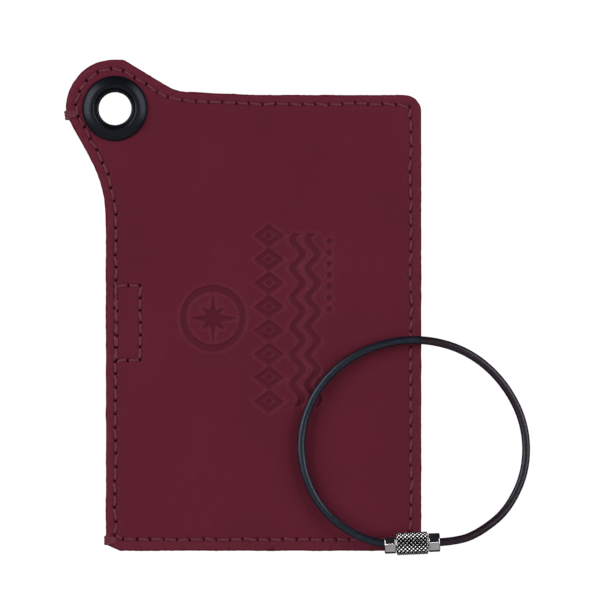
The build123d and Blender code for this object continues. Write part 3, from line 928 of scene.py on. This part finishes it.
def leather_sheet(name, holes, outer_z, inner_z, ornament, cad_node):
    """A ply: a worked outer face, a flat inner face and rough cut edges between them."""
    up = 1.0 if outer_z > inner_z else -1.0
    rim = ragged(even_rim, rim_normals, 31 if up > 0 else 41)
    coarse_loops = [outline] + [hole[::3] for hole in holes]
    loops = [rim] + holes
    points, coarse = lattice(front_low[:2], front_high[:2], FINE_STEP)
    keep = well_inside(points, holes, 0.75, 0.25)
    points, coarse = points[keep], coarse[keep]
    fine = detail_gap(points, coarse_loops, ornament) < 0.72
    clear = np.min([np.linalg.norm(points - hole, axis=1) for hole in all_holes], axis=0) > 0.5
    points = points[(fine | coarse) & clear]
    bands = [all_holes]
    for reach, count in ((0.14, 6), (0.28, 9), (0.42, 12)):
        for turn in np.arange(count) * 2 * math.pi / count:
            bands.append(all_holes + reach * np.array([math.cos(turn), math.sin(turn)]))
    for inset in (0.12, 0.28, 0.5):
        band = rim - rim_normals * inset
        bands.append(band[path_distance(band, outline) > inset * 0.9])
    places, triangles, rings = triangulate(loops, np.vstack([points] + bands))
    drop, *marks = relief(places, coarse_loops, ornament)
    outer = np.column_stack([places, outer_z - up * drop])
    flat_points, _ = lattice(front_low[:2], front_high[:2], 3.0)
    flat_points = flat_points[well_inside(flat_points, holes, 1.0, 1.0)]
    flat_places, flat_triangles, flat_rings = triangulate(loops, flat_points)
    inner = np.column_stack([flat_places, np.full(len(flat_places), inner_z)])
    vertices = [outer]
    faces = [tuple(t) if up > 0 else tuple(t[::-1]) for t in triangles.tolist()]
    face_materials = [0] * len(faces)
    total = len(outer)
    wall_edges = []
    for index, loop in enumerate(loops):
        normals = loop_normals(loop) * (1.0 if index == 0 else -1.0)
        previous = np.array(rings[index])
        top_z = outer[previous, 2]
        for level in (0.3, 0.62):
            rough = 0.03 + 0.035 * ripple(loop, 20 + int(level * 10), 1.6)
            ring = loop - normals * rough[:, None]
            z = top_z + (inner_z - top_z) * level
            vertices.append(np.column_stack([ring, z]))
            current = total + np.arange(len(loop))
            total += len(loop)
            wall_edges.append((previous, current, index))
            previous = current
        wall_edges.append((previous, None, index))
    inner_start = total
    vertices.append(inner)
    for previous, current, index in wall_edges:
        if current is None:
            current = np.array(flat_rings[index]) + inner_start
        outward = (up > 0) == (index == 0)
        after_previous = np.roll(previous, -1)
        after_current = np.roll(current, -1)
        for a, b, c, d in zip(previous, current, after_current, after_previous):
            quad = (int(a), int(b), int(c), int(d))
            faces.append(quad if outward else quad[::-1])
            face_materials.append(1)
    for triangle in flat_triangles.tolist():
        corners = tuple(index + inner_start for index in triangle)
        faces.append(corners[::-1] if up > 0 else corners)
        face_materials.append(2)
    item = make_object(name, np.vstack(vertices), faces, [LEATHER, CUT_EDGE, LINING])
    item.data.polygons.foreach_set("material_index", face_materials)
    spare = len(item.data.vertices) - len(outer)
    # These marks include a painted highlight beside the pressed lines and painted shade in the needle holes.
    for mark, values in zip(("press", "worn", "edge"), marks):
        set_attribute(item, mark, np.concatenate([values, np.zeros(spare)]))
    attach(item, "sleeve", "leather", cad_node)


def rounded_rectangle(low, high, radius, step):
    """A closed anticlockwise loop."""
    corners = [(low[0], low[1]), (high[0], low[1]), (high[0], high[1]), (low[0], high[1])]
    corners = [np.array(corner) for corner in corners]
    points = []
    for index in range(4):
        points += rounded(corners[index - 1], corners[index], corners[(index + 1) % 4], radius)
    return resample(np.array(points), step)


eyelet_hole = circle_loop(grommet, hole_radius + 0.55, 0.35)
film_border = 3.0
window = rounded_rectangle(film_low[:2] + film_border, film_high[:2] - film_border, 4.0, RIM_STEP)
leather_sheet("front_leather", [eyelet_hole], front_high[2], front_low[2], True, "front_panel")
leather_sheet("back_leather", [eyelet_hole, window], back_low[2], back_high[2], False, "back_panel")
back_face = back_low[2] + BACK_THREAD_SINK
for run, pairs, front_slant, back_slant in (
    ("seam", edge_stitches, 0.10, 0.05),
    ("mouth", mouth_stitches, 0.0, 0.0),
    ("box", box_stitches, 0.0, 0.0),
):
    stitch_set(run, "front", pairs, front_high[2], 1, front_slant)
    stitch_set(run, "back", pairs, back_face, -1, back_slant)
back_tack("ear_tack_wrap", ear_tack, unit(grommet[:2] - ear_tack), "ear_back_tack")
back_tack("corner_tack_wrap", corner_tack, np.array([1.0, 0.0]), "corner_back_tack")


# ---- Grommet
def grommet_eyelet():
    """The eyelet: a domed flange, a thin inner lip and a barrel rolled over the washer."""
    outer = (eyelet_high[0] - eyelet_low[0]) / 2
    top = eyelet_high[2] - 0.02
    leather_top = front_high[2] - 0.08
    lip = washer_low[2]
    flank = ((0.02, 0.15), (0.14, 0.40), (0.40, 0.52), (0.56, 0.47), (0.66, 0.60), (0.80, 1.15), (1.02, 1.44))
    crown = ((1.35, 0.0), (1.80, 0.08), (2.30, 0.27), (2.80, 0.55))
    shape = [(hole_radius + 0.02, lip + 0.1)]
    shape += [(hole_radius + out, leather_top + rise) for out, rise in flank]
    shape += [(hole_radius + out, top - drop) for out, drop in crown]
    shape += [
        (outer - 0.42, top - 0.84),
        (outer - 0.14, top - 1.14),
        (outer, leather_top + 0.18),
        (outer - 0.05, leather_top),
        (outer - 0.5, leather_top - 0.04),
    ]
    profile = smooth_path(shape, 90).tolist()
    lip_radius = 5.0
    profile += [
        (hole_radius + 0.5, leather_top - 0.04),
        (hole_radius + 0.5, lip),
        (lip_radius - 0.1, lip),
        (lip_radius, lip - 0.1),
        (lip_radius - 0.08, 0.03),
        (hole_radius + 0.35, 0.0),
    ]
    stations = [(height, radius) for radius, height in profile]
    vertices, faces = turned(stations, 128, (*grommet[:2], 0.0), (0, 0, 1))
    item = make_object("grommet_ring", vertices, faces, [BLACK_METAL])
    attach(item, "sleeve", "black_metal", "grommet_eyelet")


grommet_eyelet()


# ---- Cable loop
def on_clasp(along):
    """A point on the clasp's axis, at a distance from its middle."""
    return clasp + along * clasp_axis


def cable_route():
    """The cable's centreline, read from a NURBS spline that its corner points pull."""
    points = [tuple(on_clasp(CABLE_BITE - CLASP_HALF))] + cable_points
    points += [tuple(on_clasp(CLASP_HALF - CABLE_BITE))]
    curve = bpy.data.curves.new("cable_route", "CURVE")
    curve.dimensions = "3D"
    curve.resolution_u = 20
    spline = curve.splines.new("NURBS")
    spline.points.add(len(points) - 1)
    for point, place_mm in zip(spline.points, points):
        point.co = (*(value * MM for value in place_mm), 1.0)
    spline.order_u = 3
    spline.use_endpoint_u = True
    holder = bpy.data.objects.new("cable_route", curve)
    mesh = bpy.data.meshes.new_from_object(holder)
    path = np.array([tuple(vertex.co) for vertex in mesh.vertices]) / MM
    bpy.data.objects.remove(holder)
    return path


def cable_tube():
    """The coated cable: the strands show through the coating as faint helical ridges."""
    path = resample(cable_route(), 0.3, closed=False)
    vertices, faces = tube(path, CABLE_RADIUS, (0, 0, 1), 36, strands=12, lobe=0.03, lay=0.62)
    item = make_object("cable_loop", vertices, faces, [CABLE])
    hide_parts("cable_jacket_left", "cable_jacket_right", "cable_core_left", "cable_core_right")
    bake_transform(item)
    return item, path


def ferrule(name, side, body, cad_node, inner_stations):
    """A polished sleeve on the cable's end, with softly broken rims."""
    outer_end = CLASP_HALF
    inner_end = BARREL_HALF + 0.1
    stations = [
        (outer_end - CABLE_BITE, CABLE_BORE),
        (outer_end - 0.9, 0.95),
        (outer_end - 0.12, 1.36),
        (outer_end - 0.02, 1.44),
        (outer_end, 1.54),
    ]
    for back, inset in ((0.01, 0.28), (0.06, 0.12), (0.14, 0.03), (0.24, 0.0), (0.40, 0.0)):
        stations.append((outer_end - back, FERRULE_RADIUS - inset))
    for ahead, inset in ((0.22, 0.0), (0.10, 0.03), (0.03, 0.10), (0.0, 0.22)):
        stations.append((inner_end + ahead, FERRULE_RADIUS - inset))
    stations += inner_stations + [(outer_end - CABLE_BITE, 0.01)]
    vertices, faces = turned(stations, 96, clasp, side * clasp_axis)
    item = make_object(name, vertices, [face[::-1] for face in faces], [POLISHED])
    attach(item, body, "polished_steel", cad_node)
    return item


def stud_stations():
    """The stud's thread as ridges, out to its tip."""
    stations = [(BARREL_HALF + 0.1, 1.15)]
    for place_along in np.arange(BARREL_HALF - 0.1, 0.7, -0.125):
        stations.append((place_along, 1.3 if len(stations) % 2 else 1.1))
    stations += [(0.55, 1.1), (0.42, 0.8), (0.4, 0.01)]
    return stations


# The neck and collar that the barrel turns on
swivel_stations = [(BARREL_HALF + 0.1, 0.9), (2.2, 0.9), (2.2, 1.58), (2.18, 1.6)]
swivel_stations += [(1.42, 1.6), (1.4, 1.58), (1.4, 0.01)]


def knurl_height(along, angles):
    """Diamond knurl: two sets of crossing helical grooves leave rows of pyramids."""
    columns = along / (2 * (BARREL_HALF - KNURL_MARGIN)) * KNURL_COLUMNS
    rows = angles / (2 * math.pi) * KNURL_ROWS
    first = 1 - np.abs(2 * ((columns + rows) % 1.0) - 1)
    second = 1 - np.abs(2 * ((columns - rows) % 1.0) - 1)
    return KNURL_DEPTH * np.minimum(np.minimum(first * 1.15, second * 1.35), 1.0)


def knurl_shade_mask(vertices):
    """1 at the bottom of the knurl's grooves, 0 on the crowns and at the plain ends: where shade is painted."""
    offsets = np.asarray(vertices) - clasp
    along = offsets @ clasp_axis
    radii = np.linalg.norm(offsets - np.outer(along, clasp_axis), axis=1)
    depth = (BARREL_RADIUS - radii) / KNURL_DEPTH
    return np.where(np.abs(along) < BARREL_HALF - KNURL_MARGIN, np.clip(depth, 0, 1), 0.0)


def knurled_barrel():
    """The clasp's screw barrel, bored through, with its diamond knurl as geometry."""
    sides = KNURL_ROWS * KNURL_SIDES_PER_ROW
    angles = np.arange(sides) * 2 * math.pi / sides
    end = BARREL_HALF
    root = BARREL_RADIUS - KNURL_DEPTH
    stations = [(-end, BARREL_BORE), (-end, root - 0.22), (-end + 0.06, root - 0.06), (-end + 0.16, root)]
    for place_along in np.linspace(KNURL_MARGIN - end, end - KNURL_MARGIN, KNURL_RINGS):
        stations.append((place_along, root + knurl_height(place_along + end - KNURL_MARGIN, angles)))
    stations += [(end - 0.16, root), (end - 0.06, root - 0.06), (end, root - 0.22)]
    stations += [(end, STUD_BORE), (STUD_STOP, STUD_BORE), (STUD_STOP, BARREL_BORE)]
    vertices, faces = turned(stations, sides, clasp, clasp_axis)
    item = make_object("screw_barrel", vertices, faces, [KNURLED])
    # This mask paints shade into the knurl's grooves.
    set_attribute(item, "groove", knurl_shade_mask(vertices))
    attach(item, "barrel", "knurled_steel", "knurled_barrel")
    return item


cable, cable_line = cable_tube()
stud_sleeve = ferrule("stud_sleeve", -1, "loop_stud_half", "stud_ferrule", stud_stations())
swivel_sleeve = ferrule("swivel_sleeve", 1, "loop_swivel_half", "swivel_ferrule", swivel_stations)
barrel = knurled_barrel()


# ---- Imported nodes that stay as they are, with better materials
def dress(material, *names):
    """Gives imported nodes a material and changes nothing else."""
    for name in names:
        mesh = frame["nodes"][name].data
        mesh.materials.clear()
        mesh.materials.append(material)


dress(CUT_EDGE, "ear_filler", "top_filler", "right_filler", "bottom_filler")
dress(LINING, "front_facing", "back_facing")
dress(FILM, "window_film")
dress(PAPER, "address_card")
dress(PLATED, "front_magnet", "back_magnet")
dress(BLACK_METAL, "grommet_washer")
dress(KNURLED, "barrel_retainer")


def card_rules():
    """Thin ruled lines on the side of the card that faces the window."""
    side_margin, end_margin, count = 7.0, 16.0, 6
    line, thickness = 0.25, 0.02
    left, right = card_low[0] + side_margin, card_high[0] - side_margin
    z = card_low[2] - thickness / 2
    parts = []
    for y in np.linspace(card_low[1] + end_margin, card_high[1] - end_margin, count):
        corners = [(left, y - line), (right, y - line), (right, y + line), (left, y + line)]
        lower = [(*corner, z) for corner in corners]
        upper = [(*corner, z + thickness) for corner in corners]
        faces = [(3, 2, 1, 0), (4, 5, 6, 7), (0, 1, 5, 4), (1, 2, 6, 5), (2, 3, 7, 6), (3, 0, 4, 7)]
        parts.append((np.array(lower + upper), faces))
    item = make_object("card_rules", *join_parts(parts), [INK], smooth=False)
    attach(item, "card", "card")


card_rules()


# ---- Studio
def floor():
    """A wide table of lit white acrylic: it shows no shadow."""
    material, tree, shader = new_material("lit_table", Roughness=0.9, Base_Color=(0, 0, 0, 1))
    glow = mix_colour(tree, noise(tree, 300), (1.0, 1.0, 1.0, 1), (1.02, 1.02, 1.02, 1))
    tree.links.new(glow, shader.inputs["Emission Color"])
    shader.inputs["Emission Strength"].default_value = 1.0
    size, top = 6000.0, -0.3
    corners = [(-size, -size, top), (size, -size, top), (size, size, top), (-size, size, top)]
    table = make_object("lit_table", corners, [(0, 1, 2, 3)], [material], smooth=False)
    table.visible_glossy = False
    table.visible_diffuse = False


def soft_light(name, place_mm, size, power, target=(0.0, 0.0, 0.0)):
    """A large soft area light that isn't seen itself."""
    light = bpy.data.lights.new(name, "AREA")
    light.shape = "RECTANGLE"
    light.size, light.size_y = size[0] * MM, size[1] * MM
    light.energy = power
    item = bpy.data.objects.new(name, light)
    item.location = Vector(place_mm) * MM
    item.rotation_euler = (Vector(target) * MM - item.location).to_track_quat("-Z", "Y").to_euler()
    item.visible_camera = False
    bpy.context.scene.collection.objects.link(item)


def studio():
    """Two large side lights, a wide screen on the near side, a strip above and a dim surround."""
    world = bpy.data.worlds.new("studio")
    bpy.context.scene.world = world
    world.use_nodes = True
    background = world.node_tree.nodes["Background"]
    background.inputs["Color"].default_value = (0.9, 0.95, 1.0, 1)
    background.inputs["Strength"].default_value = 0.02
    soft_light("left_box", (-780, 260, 520), (1000, 560), 9.0)
    soft_light("right_box", (780, 260, 520), (1000, 560), 7.5)
    soft_light("near_screen", (0, -560, 300), (1500, 1600), 3.4, target=(0, -114, -101))
    soft_light("top_strip", (0, 20, 1900), (900, 40), 1.0)


def camera():
    """Straight down, on a long lens."""
    aim_x, aim_y, height = 0.42 * MM, 1.62 * MM, 1500 * MM
    middle = (Vector(cad_bounds[0]) + Vector(cad_bounds[1])) / 2
    data = bpy.data.cameras.new("camera")
    data.lens = 400.0
    data.sensor_width = 36.0
    data.clip_start = 0.01
    item = bpy.data.objects.new("camera", data)
    item.location = (middle.x + aim_x, middle.y + aim_y, front_high[2] * MM + height)
    bpy.context.scene.collection.objects.link(item)
    bpy.context.scene.camera = item


floor()
studio()
camera()
bpy.context.scene.view_settings.view_transform = "Standard"
